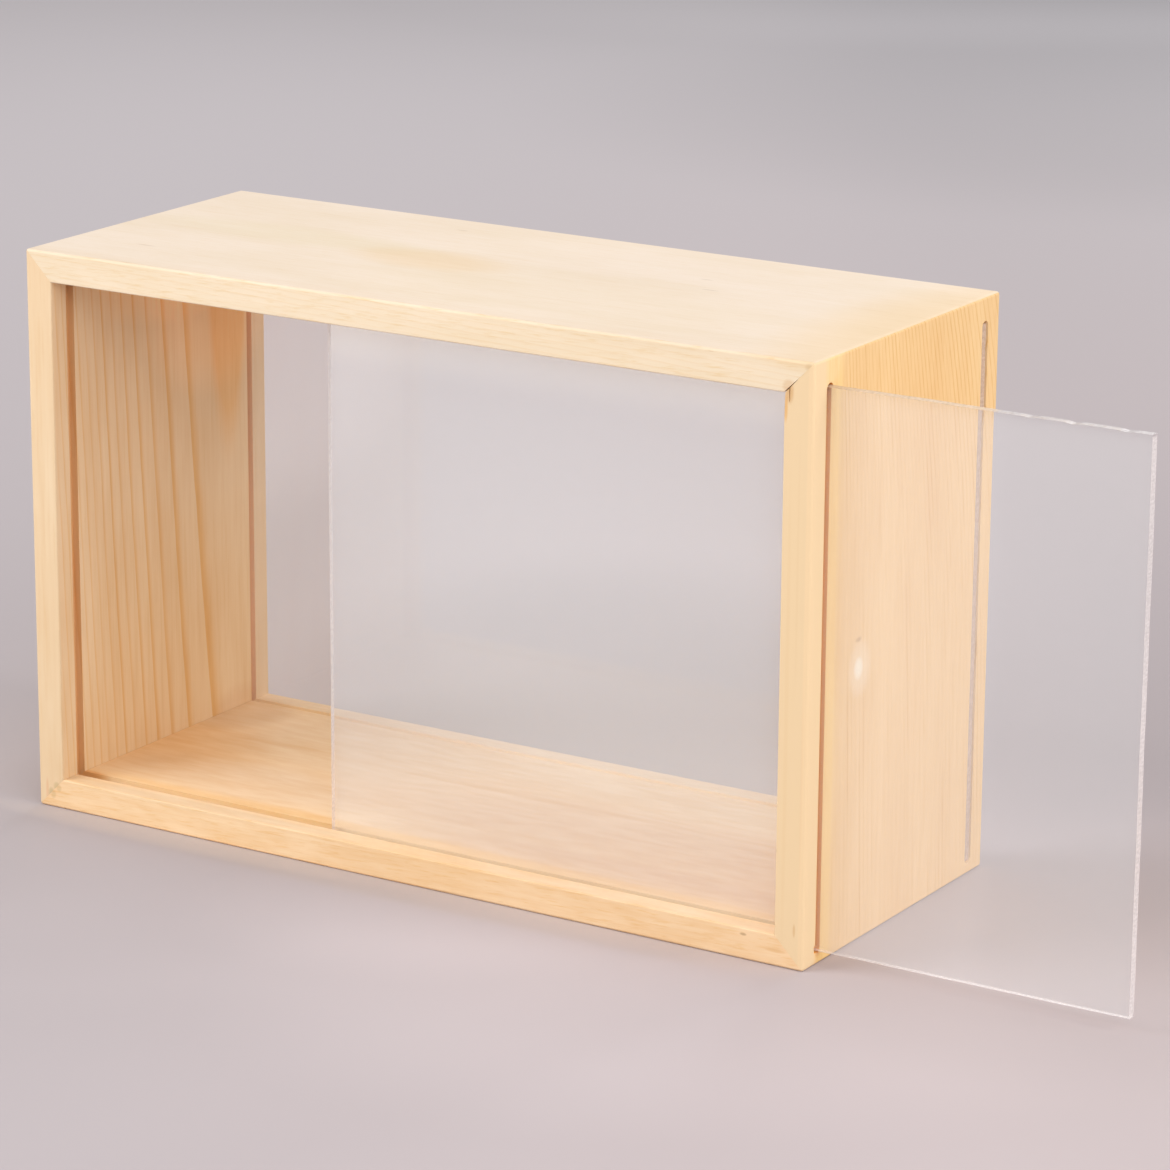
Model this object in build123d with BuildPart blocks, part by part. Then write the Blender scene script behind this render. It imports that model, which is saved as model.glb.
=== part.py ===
from build123d import *
import os
from math import sqrt

# Display box: four mitred boards make a frame, and a clear pane closes its front and its back.
# Both panes stand in grooves and draw out to the right, through slots in the right board.
# X runs to the right, Y to the back and Z up. The origin is the middle of the frame's underside.

os.makedirs("parts", exist_ok=True)

# Frame, outside sizes in millimetres
box_width = 300.0
box_depth = 121.0
box_height = 194.0
board_thickness = 10.4
outer_edge_radius = 1.0
inner_edge_radius = 0.5

# Clear panes
pane_thickness = 3.0
pane_edge_break = 0.25
front_pane_drawn_out = 108.0
rear_pane_drawn_out = 0.0

# Grooves in the boards; the setback is from the open side to the groove's middle
groove_setback = 9.8
bottom_groove_depth = 6.2
top_groove_depth = 2.0
left_groove_depth = 2.6

# Play of the panes in their grooves
groove_play = 1.0
seat_clearance = 0.2
head_clearance = 0.4
end_clearance = 0.3
flush_recess = 0.3
slot_corner_clearance = 0.12

# Splines glued across the mitres, between the two grooves
spline_thickness = 3.0
spline_width = 7.0
spline_play = 0.1
spline_cover = 2.3
spline_stop = 6.0

# Inner faces of the frame
half_width = box_width / 2
half_depth = box_depth / 2
inner_half_width = half_width - board_thickness
inner_low = board_thickness
inner_high = box_height - board_thickness

# Room in the grooves
groove_width = pane_thickness + groove_play
front_groove_y = -half_depth + groove_setback
rear_groove_y = half_depth - groove_setback
groove_floor = inner_low - bottom_groove_depth
groove_ceiling = inner_high + top_groove_depth
groove_end = -inner_half_width - left_groove_depth

# A closed pane, from the left groove to the right board's outer face
pane_bottom = groove_floor + seat_clearance
pane_top = groove_ceiling - head_clearance
pane_left = groove_end + end_clearance
pane_right = half_width - flush_recess
pane_length = pane_right - pane_left
pane_height = pane_top - pane_bottom

# The slots end in half rounds, far enough out for the pane's square corners to pass
slot_radius = groove_width / 2
corner_reach = slot_radius - sqrt(slot_radius**2 - (pane_thickness / 2) ** 2)
slot_low = pane_bottom - corner_reach - slot_corner_clearance
slot_high = pane_top + corner_reach + slot_corner_clearance

# The splines lie across the mitres, as near the outer corner as their cover allows
mitre_length = board_thickness * sqrt(2)
spline_slot_width = spline_width + 2 * spline_play
spline_slot_thickness = spline_thickness + 2 * spline_play
spline_reach = mitre_length - spline_cover * sqrt(2) - spline_slot_width / 2 - spline_slot_thickness / 2
spline_front = front_groove_y + groove_width / 2 + spline_stop
spline_back = rear_groove_y - groove_width / 2 - spline_stop
spline_middle = (spline_front + spline_back) / 2
spline_length = spline_back - spline_front

LEFT, RIGHT = -1, 1
BOTTOM, TOP = -1, 1
near = 0.1


def inner_corner(side, end):
    """X and Z of the frame's inner corner at a side, LEFT or RIGHT, and an end, BOTTOM or TOP."""
    return side * inner_half_width, inner_high if end == TOP else inner_low


def mitre_plane(side, end):
    """Plane of a mitre, facing the top or bottom board."""
    x, z = inner_corner(side, end)
    return Plane(origin=(x, 0, z), x_dir=(0, 1, 0), z_dir=(-side, 0, end))


def spline_plane(side, end):
    """Plane across a spline's middle, with its X along the mitre towards the outer corner."""
    x, z = inner_corner(side, end)
    step = spline_reach / sqrt(2)
    origin = (x + side * step, spline_middle, z + end * step)
    return Plane(origin=origin, x_dir=(side, 0, end), z_dir=(0, 1, 0))


def cut_spline_slot(side, end):
    """Cut a board's half of the slot that holds a spline."""
    with BuildSketch(spline_plane(side, end)) as section:
        Rectangle(spline_slot_thickness, spline_slot_width)
    extrude(section.sketch, amount=spline_length / 2 + spline_play, both=True, mode=Mode.SUBTRACT)


def cut_long_grooves(low, high):
    """Cut both grooves along a top or bottom board, from height low to height high."""
    with BuildSketch(Plane.YZ) as section:
        with Locations((front_groove_y, (low + high) / 2), (rear_groove_y, (low + high) / 2)):
            Rectangle(groove_width, high - low)
    extrude(section.sketch, amount=half_width, both=True, mode=Mode.SUBTRACT)


def keep_board(side_cuts, keep):
    """Keep one board of the frame by cutting it at its two mitres."""
    for side, end in side_cuts:
        split(bisect_by=mitre_plane(side, end), keep=keep)


def write_piece(piece, name):
    """Label a finished piece and write it."""
    piece.part.label = name
    export_step(piece.part, f"parts/{name}.step")


def is_outer(edge):
    """Whether an edge lies on the frame's outer sides, and not round its opening."""
    middle = edge.center()
    return abs(middle.X) > half_width - near or middle.Z < near or middle.Z > box_height - near


# Whole frame with its arrises eased, before it is cut into boards
with BuildPart() as eased_frame:
    with BuildSketch(Plane.XZ):
        with Locations((0, box_height / 2)):
            Rectangle(box_width, box_height)
            Rectangle(2 * inner_half_width, inner_high - inner_low, mode=Mode.SUBTRACT)
    extrude(amount=half_depth, both=True)
    for open_side in (0, -1):
        rim = eased_frame.edges().group_by(Axis.Y)[open_side].filter_by(is_outer, reverse=True)
        fillet(rim, radius=inner_edge_radius)
    fillet(eased_frame.edges().filter_by(is_outer), radius=outer_edge_radius)

# Top board, with its grooves in its underside
with BuildPart() as top_board:
    add(eased_frame.part)
    keep_board([(LEFT, TOP), (RIGHT, TOP)], Keep.TOP)
    cut_long_grooves(inner_high, groove_ceiling)
    cut_spline_slot(LEFT, TOP)
    cut_spline_slot(RIGHT, TOP)
write_piece(top_board, "top_board")

# Bottom board, whose deeper grooves carry the panes
with BuildPart() as bottom_board:
    add(eased_frame.part)
    keep_board([(LEFT, BOTTOM), (RIGHT, BOTTOM)], Keep.TOP)
    cut_long_grooves(groove_floor, inner_low)
    cut_spline_slot(LEFT, BOTTOM)
    cut_spline_slot(RIGHT, BOTTOM)
write_piece(bottom_board, "bottom_board")

# Left board, with blind grooves that the panes close against
with BuildPart() as left_board:
    add(eased_frame.part)
    keep_board([(LEFT, TOP), (LEFT, BOTTOM)], Keep.BOTTOM)
    with BuildSketch(Plane.XY):
        groove_x = -inner_half_width - left_groove_depth / 2
        with Locations((groove_x, front_groove_y), (groove_x, rear_groove_y)):
            Rectangle(left_groove_depth, groove_width)
    extrude(amount=box_height, mode=Mode.SUBTRACT)
    cut_spline_slot(LEFT, TOP)
    cut_spline_slot(LEFT, BOTTOM)
write_piece(left_board, "left_board")

# Right board, with two through slots that let the panes out
with BuildPart() as right_board:
    add(eased_frame.part)
    keep_board([(RIGHT, TOP), (RIGHT, BOTTOM)], Keep.BOTTOM)
    with BuildSketch(Plane.YZ.offset(inner_half_width)):
        slot_z = (slot_low + slot_high) / 2
        with Locations((front_groove_y, slot_z), (rear_groove_y, slot_z)):
            SlotOverall(slot_high - slot_low, groove_width, rotation=90)
    extrude(amount=board_thickness, mode=Mode.SUBTRACT)
    cut_spline_slot(RIGHT, TOP)
    cut_spline_slot(RIGHT, BOTTOM)
write_piece(right_board, "right_board")

# Hidden splines, one in each mitre
for spline_name, spline_side, spline_end in (
    ("spline_top_left", LEFT, TOP),
    ("spline_top_right", RIGHT, TOP),
    ("spline_bottom_left", LEFT, BOTTOM),
    ("spline_bottom_right", RIGHT, BOTTOM),
):
    with BuildPart() as spline:
        with BuildSketch(spline_plane(spline_side, spline_end)):
            Rectangle(spline_thickness, spline_width)
        extrude(amount=spline_length / 2, both=True)
    write_piece(spline, spline_name)

# Clear panes, alike but for their groove and how far each is drawn out
for pane_name, pane_y, drawn_out in (
    ("front_pane", front_groove_y, front_pane_drawn_out),
    ("rear_pane", rear_groove_y, rear_pane_drawn_out),
):
    with BuildPart() as pane:
        with BuildSketch(Plane.XZ.offset(-pane_y)):
            with Locations(((pane_left + pane_right) / 2 + drawn_out, (pane_bottom + pane_top) / 2)):
                Rectangle(pane_length, pane_height)
        extrude(amount=pane_thickness / 2, both=True)
        chamfer(pane.edges(), length=pane_edge_break)
    write_piece(pane, pane_name)
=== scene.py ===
import bpy
import random
from math import cos, pi, radians, sqrt
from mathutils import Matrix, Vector


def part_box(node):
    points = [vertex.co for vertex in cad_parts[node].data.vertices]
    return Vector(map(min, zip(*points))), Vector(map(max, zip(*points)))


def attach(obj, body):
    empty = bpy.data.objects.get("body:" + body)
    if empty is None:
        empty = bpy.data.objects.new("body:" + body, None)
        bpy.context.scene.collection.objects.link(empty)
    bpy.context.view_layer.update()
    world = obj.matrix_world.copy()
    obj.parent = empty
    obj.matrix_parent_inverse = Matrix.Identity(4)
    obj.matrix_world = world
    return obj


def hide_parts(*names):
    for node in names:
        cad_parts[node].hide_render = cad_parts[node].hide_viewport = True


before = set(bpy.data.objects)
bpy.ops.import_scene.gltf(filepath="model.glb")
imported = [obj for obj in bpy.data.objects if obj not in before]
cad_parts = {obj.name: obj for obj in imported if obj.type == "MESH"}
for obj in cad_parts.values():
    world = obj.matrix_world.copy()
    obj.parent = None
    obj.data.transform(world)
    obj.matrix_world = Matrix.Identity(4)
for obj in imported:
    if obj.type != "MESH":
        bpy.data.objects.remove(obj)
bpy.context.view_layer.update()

# Display box: a mitred frame of four pine boards with a clear acrylic sheet in its front and its back.
# Everything is in metres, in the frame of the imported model.

MM = 0.001
LEFT, RIGHT = -1, 1
BOTTOM, TOP = -1, 1

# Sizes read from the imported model
half_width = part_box("right_board")[1].x
half_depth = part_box("right_board")[1].y
case_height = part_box("top_board")[1].z
inner_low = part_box("bottom_board")[1].z
inner_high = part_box("top_board")[0].z
inner_half_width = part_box("right_board")[0].x
front_low, front_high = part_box("front_pane")
rear_low, rear_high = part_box("rear_pane")
pane_thickness = front_high.y - front_low.y

# Room round the panes, as the boards are cut for them
groove_play = 0.5 * MM
seat_clearance = 0.2 * MM
head_clearance = 0.4 * MM
end_clearance = 0.3 * MM
slot_corner_clearance = 0.12 * MM
groove_width = pane_thickness + 2 * groove_play
groove_floor = rear_low.z - seat_clearance
groove_ceiling = rear_high.z + head_clearance
groove_end = rear_low.x - end_clearance
slot_radius = groove_width / 2
corner_reach = slot_radius - sqrt(slot_radius**2 - (pane_thickness / 2) ** 2)
slot_low = rear_low.z - corner_reach - slot_corner_clearance
slot_high = rear_high.z + corner_reach + slot_corner_clearance
front_groove = (front_low.y + front_high.y) / 2
rear_groove = (rear_low.y + rear_high.y) / 2

# Eased arrises
outer_round = 1.0 * MM
inner_round = 0.5 * MM
mitre_ease = 0.06 * MM
groove_ease = 0.18 * MM
pane_ease = 0.16 * MM
near = 0.02 * MM


def use_only(piece):
    """Leave this piece alone selected and active."""
    bpy.ops.object.select_all(action="DESELECT")
    piece.select_set(True)
    bpy.context.view_layer.objects.active = piece


def place_in_mesh():
    """Move the active piece's place, turn and size into its mesh."""
    bpy.ops.object.transform_apply(location=True, rotation=True, scale=True)


def add_block(name, low, high, turn=(0, 0, 0)):
    """A block between two corners, turned about its middle."""
    bpy.ops.object.select_all(action="DESELECT")
    low, high = Vector(low), Vector(high)
    bpy.ops.mesh.primitive_cube_add(size=1, location=(low + high) / 2, rotation=turn, scale=high - low)
    block = bpy.context.object
    block.name = block.data.name = name
    place_in_mesh()
    return block


def copy_piece(piece, name):
    """A copy of a piece, with a mesh of its own."""
    use_only(piece)
    bpy.ops.object.duplicate()
    copy = bpy.context.object
    copy.name = copy.data.name = name
    return copy


def pick(piece, kind, wanted):
    """Enter edit mode with only the wanted vertices, edges or faces selected, by a test on their points."""
    use_only(piece)
    bpy.ops.object.mode_set(mode="EDIT")
    bpy.ops.mesh.select_mode(type=kind)
    bpy.ops.mesh.select_all(action="DESELECT")
    bpy.ops.object.mode_set(mode="OBJECT")
    mesh = piece.data
    parts = {"VERT": mesh.vertices, "EDGE": mesh.edges, "FACE": mesh.polygons}[kind]
    for part in parts:
        numbers = [part.index] if kind == "VERT" else part.vertices
        part.select = wanted([mesh.vertices[i].co for i in numbers])
    bpy.ops.object.mode_set(mode="EDIT")


def ease(piece, wanted, offset, segments):
    """Round the wanted edges."""
    pick(piece, "EDGE", wanted)
    bpy.ops.mesh.bevel(offset=offset, segments=segments, affect="EDGES")
    bpy.ops.object.mode_set(mode="OBJECT")


def saw(piece, point, keep):
    """Cut the whole piece at a plane, and keep the side that the vector keep points to."""
    pick(piece, "VERT", lambda points: True)
    bpy.ops.mesh.bisect(plane_co=point, plane_no=keep, use_fill=True, clear_inner=True, threshold=1e-7)
    bpy.ops.object.mode_set(mode="OBJECT")


def cut_away(piece, cutter):
    """Cut the cutter's shape out of the piece, and use the cutter up."""
    use_only(piece)
    cut = piece.modifiers.new("cut", "BOOLEAN")
    cut.operation = "DIFFERENCE"
    cut.solver = "EXACT"
    cut.object = cutter
    bpy.ops.object.modifier_apply(modifier=cut.name)
    bpy.data.objects.remove(cutter)


def sand_smooth(piece):
    """Shade rounds as smooth and flats as flat."""
    use_only(piece)
    bpy.ops.object.shade_smooth_by_angle(angle=radians(35))
    even = piece.modifiers.new("even", "WEIGHTED_NORMAL")
    even.keep_sharp = True
    bpy.ops.object.modifier_apply(modifier=even.name)


def flat_at(axis, value):
    """A test that all of an edge's or face's points lie at a place along an axis."""
    return lambda points: all(abs(p[axis] - value) < near for p in points)


class Wire:
    """A number that varies over a surface. Sums and products of wires add Math nodes."""

    def __init__(self, finish, socket):
        self.finish = finish
        self.socket = socket

    def __add__(self, other):
        return self.finish.math("ADD", self, other)

    __radd__ = __add__

    def __sub__(self, other):
        return self.finish.math("SUBTRACT", self, other)

    def __rsub__(self, other):
        return self.finish.math("SUBTRACT", other, self)

    def __mul__(self, other):
        return self.finish.math("MULTIPLY", self, other)

    def __truediv__(self, other):
        return self.finish.math("DIVIDE", self, other)

    def __pow__(self, other):
        return self.finish.math("POWER", self, other)


class Finish:
    """A finish, mixed from nodes. Its place is X, Y and Z in millimetres."""

    def __init__(self, name):
        self.material = bpy.data.materials.new(name)
        self.material.use_nodes = True
        self.tree = self.material.node_tree
        self.shader = self.tree.nodes["Principled BSDF"]
        here = self.node("TexCoord", {}, {}, "Object")
        self.place = [self.node("SeparateXYZ", {}, {0: here}, axis) * 1000 for axis in "XYZ"]

    def fill(self, socket, value):
        """Wire a value into a socket, or set it there."""
        if isinstance(value, Wire):
            self.tree.links.new(value.socket, socket)
        elif isinstance(value, tuple) and len(value) == 3 and socket.type == "RGBA":
            socket.default_value = (*value, 1)
        else:
            socket.default_value = value

    def node(self, kind, settings=None, inputs=None, output=0):
        """Add a node, change its settings, fill its sockets, and give the wire of one output."""
        node = self.tree.nodes.new("ShaderNode" + kind)
        for name, value in (settings or {}).items():
            setattr(node, name, value)
        for name, value in (inputs or {}).items():
            self.fill(node.inputs[name], value)
        return Wire(self, node.outputs[output])

    def math(self, operation, *values):
        """A Math node on these values."""
        return self.node("Math", {"operation": operation}, dict(enumerate(values)))

    def step(self, value, low, high):
        """0 below low and 1 above high, smooth between them."""
        return self.node(
            "MapRange",
            {"interpolation_type": "SMOOTHSTEP"},
            {"Value": value, "From Min": low, "From Max": high},
        )

    def cloud(self, x, y, z, detail=2.0, roughness=0.5):
        """Soft random patches about one unit wide, from -1 to 1 or so."""
        place = self.node("CombineXYZ", {}, {"X": x, "Y": y, "Z": z})
        inputs = {"Vector": place, "Scale": 1.0, "Detail": detail, "Roughness": roughness}
        noise = self.node("TexNoise", {}, inputs)
        return (noise - 0.5) * 3

    def ramp(self, value, stops, way="LINEAR"):
        """The colour or number between stops, each (place, colour)."""
        wire = self.node("ValToRGB", {}, {0: value})
        ramp = wire.socket.node.color_ramp
        ramp.interpolation = way
        for place, shade in stops[2:]:
            ramp.elements.new(place)
        for element, (place, shade) in zip(ramp.elements, stops):
            element.position = place
            element.color = shade
        return wire

    def chance(self, value):
        """A number from 0 to 1 that is the same wherever value is the same."""
        return self.node("TexWhiteNoise", {"noise_dimensions": "1D"}, {"W": value})

    def tint(self, under, over, share, way="MIX"):
        """Colour under, with a share of colour over laid on it; the way MULTIPLY stains it."""
        return self.node("Mix", {"data_type": "RGBA", "blend_type": way}, {0: share, 6: under, 7: over}, 2)

    def spot(self, middle, reach, place=None):
        """1 in the middle of a spot and 0 outside it. Reach is its half size along each axis."""
        far = 0
        for here, centre, half in zip(place or self.place, middle, reach):
            step = (here - centre) / half
            far = step * step + far
        return 1 - self.step(far, 0.05, 1)

    def set(self, **sockets):
        """Fill the shader's own sockets, named with _ for a space."""
        for name, value in sockets.items():
            self.fill(self.shader.inputs[name.replace("_", " ")], value)

    def bump(self, height, depth):
        """Raise the surface by height, where 1 is depth in metres."""
        lift = self.node("Bump", {}, {"Height": height, "Strength": 1.0, "Distance": depth})
        self.fill(self.shader.inputs["Normal"], lift)


def colour(red, green, blue):
    """A colour written from 0 to 255 as it is seen, as a shader takes it."""
    parts = [c / 255 for c in (red, green, blue)]
    return tuple(c / 12.92 if c <= 0.04045 else ((c + 0.055) / 1.055) ** 2.4 for c in parts)


# Camera, at the photograph's angle
bpy.ops.object.camera_add(
    location=(0.81234, -1.25274, 0.51314),
    rotation=[radians(angle) for angle in (74.078, -0.375, 32.032)],
)
camera = bpy.context.object
camera.data.lens = 143.888
camera.data.sensor_width = 36
camera.data.clip_start = 0.05
camera.data.clip_end = 60
bpy.context.scene.camera = camera

# Soft studio light: a bright room, four wide lamps round the case and a weak one overhead
world = bpy.data.worlds.new("studio")
bpy.context.scene.world = world
world.use_nodes = True
world.node_tree.nodes["Background"].inputs["Color"].default_value = (1, 1, 1, 1)
world.node_tree.nodes["Background"].inputs["Strength"].default_value = 0.37
bpy.context.scene.view_settings.view_transform = "Standard"


def hang_lamp(name, place, width, depth, power):
    """A soft lamp that points from its place to the case's foot."""
    turn = (-Vector(place)).to_track_quat("-Z", "Y").to_euler()
    bpy.ops.object.light_add(type="AREA", location=place, rotation=turn)
    lamp = bpy.context.object
    lamp.name = name
    lamp.data.shape = "RECTANGLE"
    lamp.data.size = width
    lamp.data.size_y = depth
    lamp.data.energy = power


hang_lamp("left_lamp", (-1.2, -1.2, 1.0), 1.2, 1.0, 25.2)
hang_lamp("front_lamp", (1.2, -1.2, 1.0), 1.2, 1.0, 13.1)
hang_lamp("right_lamp", (1.7, 0, 0.9), 1.0, 1.0, 16.0)
hang_lamp("rear_lamp", (0, 1.7, 0.9), 1.2, 1.0, 15.0)
hang_lamp("overhead_lamp", (0, 0, 1.3), 1.0, 1.0, 1.5)

# Pale paper floor that runs far back
bpy.ops.object.select_all(action="DESELECT")
bpy.ops.mesh.primitive_plane_add(size=14, location=(-1, 3, -0.05 * MM))
floor = bpy.context.object
floor.name = "floor"
place_in_mesh()
paper = Finish("floor_paper")

# Away is how far along the view, which heads 32 degrees left of the back, and aside how far to its right
ahead, across = 0.849, 0.529
away = (paper.place[1] * ahead - paper.place[0] * across) / 1000
aside = (paper.place[0] * ahead + paper.place[1] * across) / 1000
# The paper's colour changes with away and aside: painted falloff of the lamps' light across the paper
near_paper = paper.tint(colour(181, 172, 174), colour(186, 174, 175), paper.step(aside, -0.2, 0.15))
far_paper = paper.tint(colour(214, 207, 210), colour(168, 164, 167), paper.step(aside, -0.45, 0.45))
paper_look = paper.tint(near_paper, far_paper, paper.step(away, 0.0, 1.9))
# Painted soft shadow of the case on the paper, to its right and behind it
side_shadow_extent = paper.step(away, -0.1, 0.05) - paper.step(away, 0.25, 0.65) * 0.7
painted_side_shadow = paper.step(aside, 0.1, 0.26) * side_shadow_extent
paper_look = paper.tint(paper_look, (0.86, 0.87, 0.88), painted_side_shadow, "MULTIPLY")

# Painted pools of light and painted shadow on the paper, by away and aside, and painted warm light that the
# case throws in front of it
for middle, reach, shade in (
    ((-0.149, 0.065), (0.13, 0.17), 1.09),
    ((-0.108, 0.174), (0.13, 0.11), 0.91),
    ((-0.075, -0.135), (0.075, 0.095), 0.96),
    ((-0.078, -0.02), (0.07, 0.09), 1.07),
    ((-0.29, -0.03), (0.13, 0.30), 1.045),
    ((0.06, 0.2), (0.08, 0.06), 0.955),
    ((1.38, 0.40), (0.38, 0.45), 0.91),
    ((1.85, 0.30), (0.25, 0.45), 1.09),
    ((0.16, 0.04), (0.22, 0.145), 0.74),
    ((0.66, -0.115), (0.28, 0.07), 1.18),
):
    light_pool = paper.spot(middle, reach, (away, aside))
    paper_look = paper.tint(paper_look, (shade, shade, shade), light_pool, "MULTIPLY")
# Painted bounce light from the wood on the paper in front of the case, stronger at the left
painted_wood_bounce = paper.spot((0, -66, 0), (175, 13, 50))
paper_look = paper.tint(paper_look, (1.02, 1.01, 0.965), painted_wood_bounce, "MULTIPLY")
painted_left_bounce = paper.spot((-95, -66, 0), (95, 9, 50))
paper_look = paper.tint(paper_look, (1.11, 1.10, 1.07), painted_left_bounce, "MULTIPLY")
paper.set(Base_Color=paper_look, Roughness=0.9, Specular_IOR_Level=0.1)
floor.data.materials.append(paper.material)

# One block the size of the case with its arrises rounded, from which every board is sawn
case_block = add_block("case_block", (-half_width, -half_depth, 0), (half_width, half_depth, case_height))
ease(case_block, lambda points: True, outer_round, 5)


def inner_corner(side, end):
    """The frame's inner corner at a side, LEFT or RIGHT, and an end, BOTTOM or TOP."""
    return Vector((side * inner_half_width, 0, inner_high if end == TOP else inner_low))


def saw_board(name, outward, corners):
    """Saw a board from the block: at the frame's opening, and at its two mitres."""
    board = copy_piece(case_block, name)
    outward = Vector(outward)
    opening = inner_corner(*corners[0])
    saw(board, opening, outward)
    for side, end in corners:
        mitre = Vector((-side, 0, end)) if outward.z else Vector((side, 0, -end))
        saw(board, inner_corner(side, end), mitre.normalized())

    def on_rim(points):
        at_opening = all(abs(outward.dot(p - opening)) < near for p in points)
        at_open_side = all(abs(abs(p.y) - half_depth) < near for p in points)
        return at_opening and at_open_side and points[0].y == points[1].y

    ease(board, on_rim, inner_round, 3)
    for side, end in corners:
        corner = inner_corner(side, end)
        mitre = Vector((-side, 0, end)).normalized()
        ease(board, lambda points: all(abs(mitre.dot(p - corner)) < near for p in points), mitre_ease, 1)
    return board


top_board = saw_board("top_board_pine", (0, 0, 1), [(LEFT, TOP), (RIGHT, TOP)])
bottom_board = saw_board("bottom_board_pine", (0, 0, -1), [(LEFT, BOTTOM), (RIGHT, BOTTOM)])
left_board = saw_board("left_board_pine", (-1, 0, 0), [(LEFT, TOP), (LEFT, BOTTOM)])
right_board = saw_board("right_board_pine", (1, 0, 0), [(RIGHT, TOP), (RIGHT, BOTTOM)])
bpy.data.objects.remove(case_block)

# Grooves for the panes, cut right along the boards
beyond = 5 * MM
for groove in (front_groove, rear_groove):
    low_y, high_y = groove - groove_width / 2, groove + groove_width / 2
    for board, low, high in (
        (top_board, (-half_width, low_y, inner_high - beyond), (half_width, high_y, groove_ceiling)),
        (bottom_board, (-half_width, low_y, groove_floor), (half_width, high_y, inner_low + beyond)),
        (left_board, (groove_end, low_y, 0), (-inner_half_width + beyond, high_y, case_height)),
    ):
        cut_away(board, add_block("cutter", low, high))

# Slots through the right board, with half-round ends
for groove in (front_groove, rear_groove):
    bpy.ops.object.select_all(action="DESELECT")
    bpy.ops.mesh.primitive_cylinder_add(
        vertices=48,
        radius=slot_radius,
        depth=half_width - inner_half_width + 2 * beyond,
        location=((half_width + inner_half_width) / 2, groove, slot_low + slot_radius),
        rotation=(0, pi / 2, 0),
    )
    router_bit = bpy.context.object
    place_in_mesh()
    pick(router_bit, "VERT", lambda points: points[0].z > slot_low + slot_radius + near)
    bpy.ops.transform.translate(value=(0, 0, slot_high - slot_low - 2 * slot_radius))
    bpy.ops.object.mode_set(mode="OBJECT")
    cut_away(right_board, router_bit)

# Slots for the hidden splines across the mitres
spline_thickness = 3 * MM
spline_width = 7 * MM
spline_play = 0.1 * MM
for spline, boards in (
    ("spline_top_left", (top_board, left_board)),
    ("spline_top_right", (top_board, right_board)),
    ("spline_bottom_left", (bottom_board, left_board)),
    ("spline_bottom_right", (bottom_board, right_board)),
):
    low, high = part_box(spline)
    middle = (low + high) / 2
    half_slot = Vector((spline_thickness, high.y - low.y, spline_width)) / 2
    half_slot += Vector((spline_play, spline_play, spline_play))
    lean = -pi / 4 if middle.x * (middle.z - case_height / 2) > 0 else pi / 4
    for board in boards:
        cut_away(board, add_block("cutter", middle - half_slot, middle + half_slot, turn=(0, lean, 0)))

# Arrises of the grooves and slots, eased by hand
for board, axis, value in (
    (top_board, 2, inner_high),
    (bottom_board, 2, inner_low),
    (left_board, 0, -inner_half_width),
    (right_board, 0, inner_half_width),
    (right_board, 0, half_width),
):
    at_face = flat_at(axis, value)

    def on_mouth(points):
        inside = all(abs(abs(p.y) - half_depth) > 2 * MM for p in points)
        along = board is right_board or abs(points[0].y - points[1].y) < near
        return at_face(points) and inside and along

    ease(board, on_mouth, groove_ease, 2)


def add_sliver(start, end, width, tip, depth):
    """A cutter across the front face, from start to end in X and Z, narrowing from width to tip."""
    start = Vector((start[0], 0, start[1])) * MM
    end = Vector((end[0], 0, end[1])) * MM
    run = end - start
    middle = (start + end) / 2 - Vector((0, half_depth, 0))
    half = Vector((run.length, 2 * depth * MM, width * MM)) / 2
    sliver = add_block("cutter", -half, half)
    pick(sliver, "VERT", lambda points: points[0].x > 0)
    bpy.ops.transform.resize(value=(1, 0.4, tip / width))
    bpy.ops.object.mode_set(mode="OBJECT")
    sliver.rotation_euler = run.to_track_quat("X", "Z").to_euler()
    sliver.location = middle
    use_only(sliver)
    place_in_mesh()
    return sliver


# Open end of the top right mitre, a crack beside it, and a chip out of the inner arris below
for start, end, width, tip, depth, boards in (
    ((139.2, 183.2), (144.2, 188.2), 0.55, 0.12, 2.2, (top_board, right_board)),
    ((141.45, 185.6), (141.55, 181.0), 0.42, 0.2, 1.6, (right_board,)),
    ((139.5, 183.6), (139.5, 175.0), 1.1, 0.3, 0.7, (right_board,)),
):
    for board in boards:
        cut_away(board, add_sliver(start, end, width, tip, depth))

# Nick at the foot of the front slot
nick_low = Vector((half_width - 0.5 * MM, front_groove - 2.9 * MM, 3.9 * MM))
nick_high = nick_low + Vector((1, 1.4, 2.6)) * MM
cut_away(right_board, add_block("cutter", nick_low, nick_high, turn=(0.25, 0.2, 0)))

# Slivers of edge that the cuts leave are merged, and the rounds are shaded smooth
for board in (top_board, bottom_board, left_board, right_board):
    pick(board, "VERT", lambda points: True)
    bpy.ops.mesh.remove_doubles(threshold=0.005 * MM)
    bpy.ops.object.mode_set(mode="OBJECT")
    sand_smooth(board)

for node, piece in (
    ("top_board", top_board),
    ("bottom_board", bottom_board),
    ("left_board", left_board),
    ("right_board", right_board),
):
    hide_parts(node)
    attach(piece, "frame")

# Panes: clear acrylic sheet, sawn to size, with slightly wavy milky edges and a few chips
saw_steps = 180

# What the saw takes off each edge in millimetres, with its ripples as (height, length)
saw_inset = 0.1
ripples = ((0.045, 19), (0.03, 7), (0.02, 3.1))
saw_roughness = 0.02
chip_reach = 1.7


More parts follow.
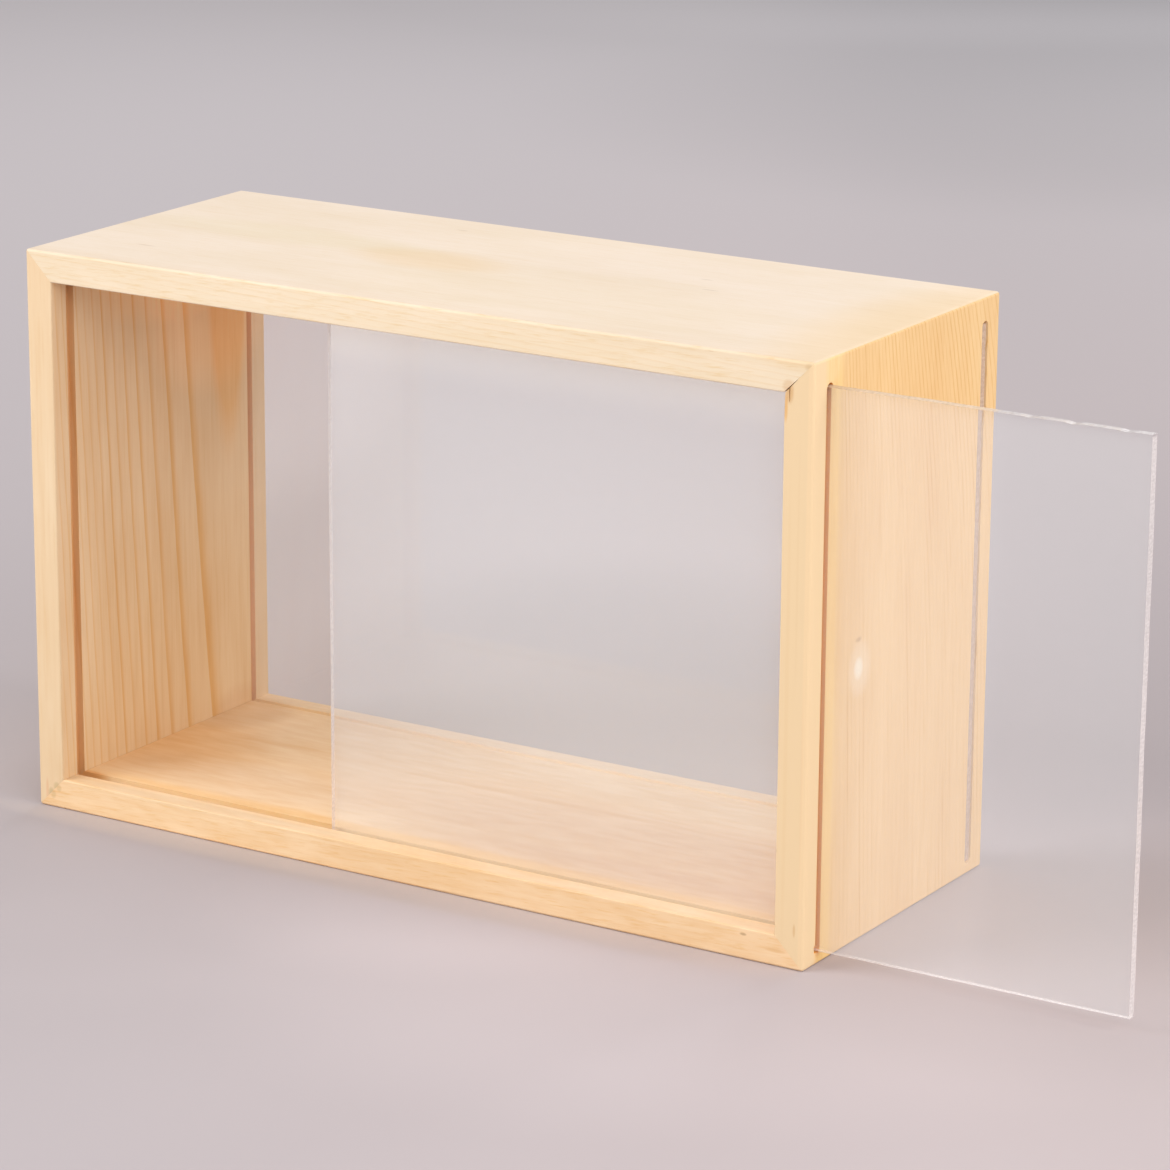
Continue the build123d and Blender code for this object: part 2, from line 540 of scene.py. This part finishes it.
def saw_sheet(name, node, chips, seed):
    """A sheet the size of a packed pane, with its rim sawn by hand; chips are (x, depth) along its top."""
    low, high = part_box(node)
    sheet = add_block(name, low, high)
    pick(sheet, "FACE", lambda points: all(abs(p.y - points[0].y) < near for p in points))
    bpy.ops.mesh.delete(type="ONLY_FACE")
    bpy.ops.object.mode_set(mode="OBJECT")
    pick(sheet, "EDGE", lambda points: abs(points[0].y - points[1].y) < near)
    bpy.ops.mesh.subdivide(number_cuts=saw_steps)
    bpy.ops.object.mode_set(mode="OBJECT")
    draw = random.Random(seed)
    wave = {}
    for vertex in sheet.data.vertices:
        spot = vertex.co
        for axis, side in ((0, -1), (0, 1), (2, -1), (2, 1)):
            edge = (low if side < 0 else high)[axis]
            if abs(spot[axis] - edge) > near:
                continue
            key = (axis, side)
            if key not in wave:
                wave[key] = [draw.uniform(0, 2 * pi) for ripple in ripples]
            along = spot[2 - axis] * 1000
            sway = saw_inset
            for (height, length), turn in zip(ripples, wave[key]):
                sway += height * cos(along / length + turn)
            nick = max(0, draw.gauss(0, saw_roughness))
            if key == (2, 1):
                for x, deep in chips:
                    nick += deep * max(0, 1 - abs(spot.x * 1000 - x) / chip_reach) * draw.uniform(0.6, 1)
            spot[axis] = edge - side * (sway + nick) * MM
    for y in (low.y, high.y):
        pick(sheet, "EDGE", lambda points: all(abs(p.y - y) < near for p in points))
        bpy.ops.mesh.edge_face_add()
        bpy.ops.object.mode_set(mode="OBJECT")
    pick(sheet, "VERT", lambda points: True)
    bpy.ops.mesh.normals_make_consistent(inside=False)
    bpy.ops.object.mode_set(mode="OBJECT")
    for y in (low.y, high.y):
        ease(sheet, lambda points: all(abs(p.y - y) < near for p in points), pane_ease, 1)
    return sheet


front_chips = [(217.1, 0.45), (231.4, 0.6), (249.8, 0.7), (96, 0.4)]
rear_chips = [(-84, 0.5), (32, 0.4)]
front_sheet = saw_sheet("front_pane_acrylic", "front_pane", front_chips, 11)
rear_sheet = saw_sheet("rear_pane_acrylic", "rear_pane", rear_chips, 12)


def clear_acrylic():
    """Clear sheet that lets the lamps' light through.

    The end that hands draw out is a little duller, and the sheet has a painted glow under the top board
    that cancels the board's shadow on it.
    """
    plastic = Finish("clear_acrylic")
    x, y, z = plastic.place
    handled = plastic.step(x, 198, 214)
    sheet_look = plastic.tint((0.97, 0.975, 0.98), (0.94, 0.94, 0.94), handled)
    plastic.set(Base_Color=sheet_look, Roughness=0.0, IOR=1.49, Transmission_Weight=0.88)
    # Painted glow: emission that cancels the top board's shadow on the sheet, only where the board is above
    # it
    painted_glow = plastic.step(z, 165, 188) * (1 - plastic.step(x, 140, 150))
    painted_glow_look = plastic.tint((0.0, 0.0, 0.0), (0.092, 0.082, 0.064), painted_glow)
    plastic.set(Emission_Color=painted_glow_look, Emission_Strength=1.0)
    path = [plastic.node("LightPath", {}, {}, kind) for kind in ("Is Shadow Ray", "Is Diffuse Ray")]
    open_air = plastic.node("BsdfTransparent", {}, {"Color": (0.975, 0.98, 0.985)})
    shown = Wire(plastic, plastic.shader.outputs[0])
    both = plastic.node("MixShader", {}, {0: plastic.math("MAXIMUM", *path), 1: shown, 2: open_air})
    plastic.tree.links.new(both.socket, plastic.tree.nodes["Material Output"].inputs["Surface"])
    return plastic


def sawn_edge(name, dull, bright, dress):
    """Milky scratched skin that the saw leaves on the sheet's edges.

    Dress takes the skin and its colour, and returns its colour, stained or with painted shade or a painted
    reflection laid on, and how well it shows.
    """
    skin = Finish(name)
    scratch = skin.cloud(skin.place[0] * 1.3, skin.place[1] * 0.5, skin.place[2] * 1.3, 3)
    worn = skin.step(scratch, -0.8, 0.8)
    look, shows = dress(skin, skin.tint(dull, bright, worn))
    skin.set(Base_Color=look, Roughness=0.45, IOR=1.49, Alpha=(worn * 0.1 + 0.44) * shows)
    skin.bump(scratch, 0.015 * MM)
    return skin


# The right board stands behind the front pane as far as this place along it, in millimetres;
# up to here the sheet's top edge has a painted reflection of the wood's colour
board_behind = 206


def front_skin(skin, look):
    """Painted shade along the top, a painted reflection of the wood near the box, and warm at the foot of
    the left edge.
    """
    x, y, z = skin.place
    left, foot_level, head_level = front_low.x / MM, front_low.z / MM, front_high.z / MM
    # Painted shade along the top edge, and a painted reflection of the wood's colour where the right board
    # stands behind
    top = skin.step(z, head_level - 1.2, head_level - 0.8)
    painted_wood_reflection = top * (1 - skin.step(x, board_behind - 2, board_behind + 2))
    foot = (1 - skin.step(z, 30, 62)) * (1 - skin.step(x, left + 0.9, left + 3.9))
    for share, laid_colour in ((top, (0.56, 0.55, 0.56)), (painted_wood_reflection, (1.3, 1.05, 0.71)), (foot, (1, 0.88, 0.77))):
        look = skin.tint(look, laid_colour, share, "MULTIPLY")
    underneath = 1 - skin.step(z, foot_level + 0.2, foot_level + 0.6)
    return look, 1 + top * 0.88 + foot * 0.6 - underneath * 0.16


def rear_skin(skin, look):
    """Seen only at its right end, in the slot."""
    return look, skin.step(skin.place[0], 140, 145) * 0.85 + 0.15


front_edge = sawn_edge("front_pane_sawn_edge", colour(236, 227, 225), colour(245, 237, 235), front_skin)
# The rear sheet's warm edge colour is a painted reflection of the wood, seen through its clear end in the
# slot
rear_edge = sawn_edge("rear_pane_sawn_edge", colour(232, 204, 184), colour(244, 216, 196), rear_skin)
clear = clear_acrylic()
for sheet, edge in ((front_sheet, front_edge), (rear_sheet, rear_edge)):
    sheet.data.materials.append(clear.material)
    sheet.data.materials.append(edge.material)
    for face in sheet.data.polygons:
        face.material_index = 0 if abs(face.normal.y) > 0.95 else 1


def pine(name, along, pith, lean, rings, colours, lines, marks, groove_scorch_and_shade, strengths=None, swing=None,
         mottle=0.5, grain=0.5, flecks=0.0):
    """A planed pine board.

    The grain runs along axis 0 or 2. The pith is the line that the rings go round: a point on it in
    millimetres, and how far it leans for each millimetre along. A ring's number at the distance r from it
    is rings[0] * (r / 80) ** rings[1] + rings[2], and strengths are those of rings -2, -1, 0 and so on.
    The colours are pale, deep and that of a dark line. Marks are (way, middle, reach, colour, share):
    a MULTIPLY mark stains the wood or lays painted shade or painted light on it, and a MIX mark covers it.
    Scorch and shade for the front and the rear groove are the colours laid inside them: router scorch with
    painted shade, and where above 1, painted light that lifts the groove's shade. Mottle, grain and flecks
    are the strengths of the soft patches, of the long fibres and of the short raised ones. Swing gives how
    far the rings are shifted to the back.
    """
    wood = Finish(name)
    across = 2 - along
    run, y, side = wood.place[along], wood.place[1], wood.place[across]
    from_pith = [
        y - (run * lean[0] + (pith[1] - pith[along] * lean[0])),
        side - (run * lean[1] + (pith[across] - pith[along] * lean[1])),
    ]
    if swing:
        from_pith[0] = from_pith[0] - swing(wood)
    sway = wood.cloud(run / 70, y / 24, side / 24) * 0.3 + wood.cloud(run / 20, y / 30, side / 30) * 0.14
    radius = (from_pith[0] * from_pith[0] + from_pith[1] * from_pith[1]) ** 0.5 + sway
    ring = (radius / 80) ** rings[1] * rings[0] + rings[2]
    age = wood.math("FRACT", ring)
    number = wood.math("FLOOR", ring)
    if strengths:
        stops = [(i / len(strengths), (value, value, value, 1)) for i, value in enumerate(strengths)]
        strength = wood.ramp((number + 2.5) / len(strengths), stops, "CONSTANT")
    else:
        strength = wood.chance(number) * 0.75 + 0.25
    late = wood.step(age, 0.55, 0.975) ** 1.7 * (1 - wood.step(age, 0.978, 1.0)) * strength

    fibre = wood.cloud(run / 24, y * 1.2, side * 1.2, 3, 0.6)
    streak = wood.cloud(run / 50, y * 0.4, side * 0.4, 2)
    patch = wood.cloud(run / 60, y / 18, side / 18, 2)
    blotch = wood.cloud(run / 14, y / 3.5, side / 2.2, 2)
    pale, deep, line = colours
    look = wood.tint(pale, deep, wood.step(patch + streak * grain + blotch * mottle, -1.2, 1.2))
    look = wood.tint(look, line, late * lines(wood), "MULTIPLY")
    look = wood.tint(look, (0.93, 0.84, 0.70), wood.step(fibre, -0.2, 1.0) * grain, "MULTIPLY")
    look = wood.tint(look, (0.95, 0.89, 0.80), wood.step(streak, 0.2, 1.2) * grain, "MULTIPLY")

    # Short torn fibres, most of them on the front, where they rise a little to the right
    climb = side - run * 0.05
    on_front = wood.step(y, -58, -60) * 0.65 + 0.35
    fleck = wood.step(wood.cloud(run / 7, y * 1.1, climb * 1.6, 2, 0.6), 0.0, 0.8) * on_front
    look = wood.tint(look, (0.94, 0.86, 0.70), fleck * flecks, "MULTIPLY")

    # Resin ducts, short dark dashes here and there
    cells = wood.node("CombineXYZ", {}, {0: run / 16, 1: y / 1.7, 2: side / 1.7})
    duct = wood.node("TexVoronoi", {}, {"Vector": cells, "Scale": 1.0}, "Distance")
    chosen = wood.step(wood.cloud(run / 20, y / 6, side / 6), 0.3, 0.8)
    look = wood.tint(look, (0.72, 0.58, 0.42), (1 - wood.step(duct, 0.03, 0.1)) * chosen * 0.5, "MULTIPLY")

    for way, middle, reach, mark, share in marks:
        look = wood.tint(look, mark, wood.spot(middle, reach) * share, way)

    # Inside the grooves and slots: a little router scorch with painted shade, or where above 1 painted
    # light that lifts their shade; the outer faces stay clean
    x, y, z = wood.place
    foot, head, left, right = slot_low / MM, slot_high / MM, groove_end / MM, half_width / MM
    inside = wood.step(z, foot - 0.4, foot - 0.1) * (1 - wood.step(z, head + 0.1, head + 0.4))
    inside = inside * wood.step(x, left - 1.8, left - 0.8)
    inside = inside * (1 - wood.step(x, right - 0.15, right - 0.05))
    for groove, laid_colour in zip((front_groove, rear_groove), groove_scorch_and_shade):
        off_wall = wood.math("ABSOLUTE", y - groove / MM) - groove_width / 2 / MM
        look = wood.tint(look, laid_colour, (1 - wood.step(off_wall, 0.02, 0.14)) * inside, "MULTIPLY")
    wood.set(Base_Color=look, Roughness=0.58 + fibre * 0.05 - late * 0.06, IOR=1.5, Specular_IOR_Level=0.35)
    wood.bump(late * 0.6 + fibre * 0.25 + fleck * flecks * 0.5, 0.03 * MM)
    return wood


# Stains that more than one board has
line_stain = (0.93, 0.75, 0.48)
dirt = (0.45, 0.36, 0.28)
grime = (0.66, 0.66, 0.52)
orange = (0.98, 0.86, 0.62)

pine_left = pine(
    "pine_left", 2, (-79.6, 46.9, 90), (-0.0308, -0.0302), (5.945, 2.517, -3.802),
    (colour(238, 210, 174), colour(230, 196, 154), line_stain),
    lambda wood: wood.step(wood.place[1], -60.2, -58) * 1.02 + 0.03,
    [
        ("MULTIPLY", (-138.5, 37.5, 190), (4, 14.5, 98), (1.01, 0.85, 0.64), 2.4),
        # Painted shade, darker and warmer low on the inner face and in its rear corner by the floor
        ("MULTIPLY", (-138.5, -1, 10), (3, 90, 120), (0.965, 0.92, 0.84), 1.0),
        ("MULTIPLY", (-139.6, 40, 11), (4, 18, 9), (0.94, 0.89, 0.87), 1.0),
        # Painted light that lifts the top board's shadow on the upper inner face
        ("MULTIPLY", (-139.6, 12, 180), (4, 62, 24), (1.25, 1.20, 1.14), 1.0),
        ("MULTIPLY", (-139.6, 30, 160), (4, 45, 35), (1.22, 1.14, 1.08), 1.0),
        ("MULTIPLY", (-145, -60.5, 97), (12, 1.5, 200), (1.0, 1.035, 1.05), 1.0),
        ("MULTIPLY", (-142.5, -60.5, 7.6), (1.7, 1, 2.0), grime, 0.55),
        ("MULTIPLY", (-144.9, -60.5, 5.0), (1.5, 1, 2.4), grime, 0.55),
        ("MULTIPLY", (-146.5, -60.5, 5.7), (0.8, 1, 5.8), (0.95, 0.82, 0.76), 0.8),
    ],
    ((0.91, 0.745, 0.565), (1.0, 0.78, 0.62)),
    strengths=(0.0, 0.95, 0.95, 0.75, 0.9, 0.8, 0.55, 0.9, 0.6, 0.4, 0.6, 0.5, 0.5),
    mottle=0.2,
)


def clustered_lines(wood):
    """Fine broken lines all over the top of the right board, and in clusters further down."""
    x, y, z = wood.place
    up_high = wood.step(z, 120, 185)
    cluster = wood.step(wood.cloud(z / 90, y / 7, 3), -0.2, 0.6)
    broken = wood.step(wood.cloud(z / 9, y / 1.2, 7), -0.9, 0.4) * 0.7 + 0.3
    clear_of_slot = wood.step(y, -43, -38) * 0.85 + 0.15
    return (up_high * 1.2 + cluster * 1.4 + 0.25) * broken * clear_of_slot


def bowed_lines(wood):
    """How far the right board's lines bow to the back, more and more so towards its foot and its rear."""
    x, y, z = wood.place
    return (1 - wood.math("EXPONENT", (z - 194) / 70)) * wood.step(y, -75, 45) * 22


pine_right = pine(
    "pine_right", 2, (57, 124, 186), (-0.02, 0.0), (46, 1.0, 0.0),
    (colour(239, 203, 150), colour(232, 192, 137), (0.90, 0.80, 0.61)),
    clustered_lines,
    [
        ("MULTIPLY", (150, -11, 60), (4, 140, 150), (1.045, 1.01, 0.955), 1.6),
        ("MULTIPLY", (150, -52, 95), (3, 11.5, 450), (1.04, 1.06, 0.95), 1.8),
        ("MULTIPLY", (150, -52, 196), (3, 11.5, 14), (1.05, 1.08, 1.25), 1.6),
        ("MIX", (145, -62, 95), (18, 12, 450), colour(234, 206, 164), 2.2),
        ("MULTIPLY", (150, -59, 95), (2.5, 9, 450), (1.045, 1.03, 1.02), 1.6),
        ("MULTIPLY", (142.4, -61, 80), (1.0, 2, 100), (0.95, 0.90, 0.80), 0.3),
        ("MULTIPLY", (145.4, -61, 130), (0.6, 2, 50), (0.94, 0.90, 0.82), 0.3),
        ("MULTIPLY", (148.2, -61, 60), (0.6, 2, 40), (0.95, 0.90, 0.84), 0.4),
        ("MIX", (150, -27.6, 90.6), (2, 3.4, 4.4), colour(250, 238, 216), 0.9),
        ("MIX", (150, -27.0, 90.5), (2, 8.5, 11), colour(248, 226, 194), 0.4),
        ("MULTIPLY", (150, -28, 100), (1, 2.5, 1.0), dirt, 0.4),
        ("MULTIPLY", (150, -51, 6), (1.5, 2.9, 4.4), (0.8, 0.55, 0.38), 0.7),
        # Painted shade in the upper ends of the front and the rear slot
        ("MULTIPLY", (144.5, -50.7, 185.8), (6, 3, 2.2), (0.62, 0.62, 0.7), 1.5),
        ("MULTIPLY", (144, 50.7, 185.8), (5.6, 3, 2.2), (0.6, 0.54, 0.5), 1.5),
        ("MIX", (144.5, -50.7, 4.2), (6.5, 3, 3), colour(214, 196, 176), 1.5),
        ("MULTIPLY", (146.6, -60.5, 13), (0.6, 1, 2.8), (0.82, 0.68, 0.52), 0.6),
        ("MULTIPLY", (139.8, -59.8, 38), (0.6, 0.9, 0.8), dirt, 0.9),
        ("MULTIPLY", (141.5, -60.5, 184), (1.8, 1.2, 4.5), (0.8, 0.62, 0.42), 0.7),
        ("MULTIPLY", (140.2, -60.5, 179), (1.0, 1.5, 5.5), (0.93, 0.7, 0.42), 0.8),
    ],
    ((0.97, 0.60, 0.21), (1.04, 1.12, 1.32)),
    swing=bowed_lines,
    mottle=0.2,
    flecks=0.9,
)

pine_top = pine(
    "pine_top", 0, (0, 21, 124), (0.02, -0.012), (66, 1.0, 0.0),
    (colour(235, 218, 201), colour(229, 210, 187), line_stain),
    lambda wood: wood.step(wood.place[1], -58, -60) * 0.2 + 0.06,
    [
        ("MULTIPLY", (-28, -1, 194), (36, 17, 6), (0.985, 0.93, 0.83), 1.0),
        ("MULTIPLY", (40, -28, 194), (95, 42, 6), (0.995, 0.99, 0.955), 0.9),
        ("MULTIPLY", (-90, 7, 194), (70, 16, 6), (0.96, 0.96, 0.89), 0.8),
        # Painted shade, darker towards the right of the top face, that evens out the lamps' light there
        ("MULTIPLY", (110, -1, 194), (140, 95, 6), (0.96, 0.955, 0.955), 0.8),
        ("MULTIPLY", (162, -1, 194), (50, 110, 6), orange, 0.7),
        ("MULTIPLY", (0, -61.7, 188), (600, 2.2, 40), (1.06, 1.05, 0.92), 1.0),
        ("MULTIPLY", (0, -59.5, 194), (600, 9, 2), (0.99, 0.975, 0.955), 1.0),
        ("MULTIPLY", (-46, 45, 194), (3, 0.8, 2), dirt, 0.2),
        ("MULTIPLY", (-120, -34, 194), (5, 0.9, 2), dirt, 0.2),
        ("MULTIPLY", (63, 23, 194), (3, 0.7, 2), dirt, 0.25),
        ("MULTIPLY", (72, 10, 194), (4, 0.7, 2), dirt, 0.25),
        ("MULTIPLY", (141.2, -60.5, 185.6), (2.8, 1.2, 2.8), (0.8, 0.62, 0.42), 0.5),
        ("MULTIPLY", (148, -60.5, 192.3), (1.8, 1, 1.6), (0.75, 0.66, 0.52), 0.4),
    ],
    ((0.964, 0.898, 0.826), (0.964, 0.898, 0.826)),
    mottle=0.3,
    grain=0.22,
    flecks=0.75,
)

pine_bottom = pine(
    "pine_bottom", 0, (0, -16, 90), (0.02, 0.012), (44, 1.0, 0.0),
    (colour(244, 213, 174), colour(236, 198, 151), line_stain),
    lambda wood: wood.step(wood.place[1], -58, -60) * 0.12 + 0.1,
    [
        # Painted shadow of the left board on the inner floor, with warm bounce light
        ("MULTIPLY", (-150, -11, 10.4), (64, 44, 8), (0.92, 0.76, 0.56), 0.8),
        ("MULTIPLY", (-40, 12.5, 10.4), (210, 2.6, 3), (0.94, 0.86, 0.74), 0.6),
        ("MULTIPLY", (0, -46.5, 10.4), (200, 6, 3), orange, 0.7),
        ("MULTIPLY", (-90, -28, 10.4), (62, 23, 3), (0.92, 0.94, 1.02), 0.9),
        ("MULTIPLY", (-90, 22, 10.4), (75, 40, 3), (0.96, 0.97, 0.985), 0.9),
        ("MULTIPLY", (80, -13, 10.4), (170, 39, 3), (0.885, 0.83, 0.80), 1.0),
        ("MULTIPLY", (75, -37, 10.4), (110, 14, 3), (0.92, 0.87, 0.835), 1.0),
        ("MULTIPLY", (80, 38, 10.4), (150, 24, 3), (0.98, 1.01, 1.05), 0.8),
        ("MULTIPLY", (-90, -57, 10.4), (80, 4.5, 3), (0.90, 0.93, 0.985), 0.9),
        ("MULTIPLY", (80, -57, 10.4), (90, 4.5, 3), (0.97, 0.985, 1.06), 0.9),
        # Painted shade in the corner at the foot of the front groove by the left board
        ("MULTIPLY", (-139, -49.5, 10.4), (12, 3, 7), (0.96, 0.76, 0.56), 1.2),
        ("MULTIPLY", (90, -61, 5), (70, 1.6, 9), (0.97, 0.955, 0.93), 1.0),
        ("MULTIPLY", (-141.6, -60.5, 7.2), (1.4, 1, 1.6), grime, 0.4),
        ("MULTIPLY", (-144.0, -60.5, 4.6), (1.4, 1, 1.8), grime, 0.4),
        ("MULTIPLY", (-110, -61, 5), (110, 1.6, 9), (1.035, 1.03, 1.01), 1.0),
        # Painted light on the lower front arris, which faces the floor
        ("MULTIPLY", (-70, -60.7, -0.2), (130, 1.5, 1.4), (1.3, 1.25, 1.18), 1.0),
        # Painted shade in the rear left corner of the inner floor
        ("MULTIPLY", (-134, 36, 10.4), (22, 26, 3), (0.82, 0.75, 0.69), 1.0),
        ("MULTIPLY", (128.5, -60.5, 8.4), (1.5, 1, 0.6), dirt, 0.6),
        ("MULTIPLY", (140, -60.5, 5.2), (5, 1, 0.8), (0.85, 0.72, 0.52), 0.6),
    ],
    ((0.97, 1.0, 1.0), (1.25, 1.25, 1.1)),
    mottle=1.0,
    grain=0.17,
    flecks=0.8,
)

for board, finish in (
    (top_board, pine_top),
    (bottom_board, pine_bottom),
    (left_board, pine_left),
    (right_board, pine_right),
):
    board.data.materials.append(finish.material)

# Splines: strips of three-ply, hidden in the mitres
ply = Finish("spline_ply")
layer = ply.math("FRACT", (ply.place[0] + ply.place[2]) / 2)
ply_look = ply.tint(colour(196, 152, 108), colour(168, 124, 84), ply.step(layer, 0.45, 0.55))
ply_grain = ply.cloud(ply.place[0], ply.place[1] / 12, ply.place[2], 3)
ply_look = ply.tint(ply_look, (0.8, 0.7, 0.6), ply.step(ply_grain, 0, 1) * 0.5, "MULTIPLY")
ply.set(Base_Color=ply_look, Roughness=0.7)
ply.bump(ply_grain, 0.03 * MM)
for spline in ("spline_top_left", "spline_top_right", "spline_bottom_left", "spline_bottom_right"):
    for material_slot in bpy.data.objects[spline].material_slots:
        material_slot.material = ply.material

# What each piece rides on, what it stands for and its slot
for piece, node, body, slot in (
    (front_sheet, "front_pane", "front_slider", "clear_acrylic"),
    (rear_sheet, "rear_pane", "rear_slider", "clear_acrylic"),
):
    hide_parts(node)
    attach(piece, body)
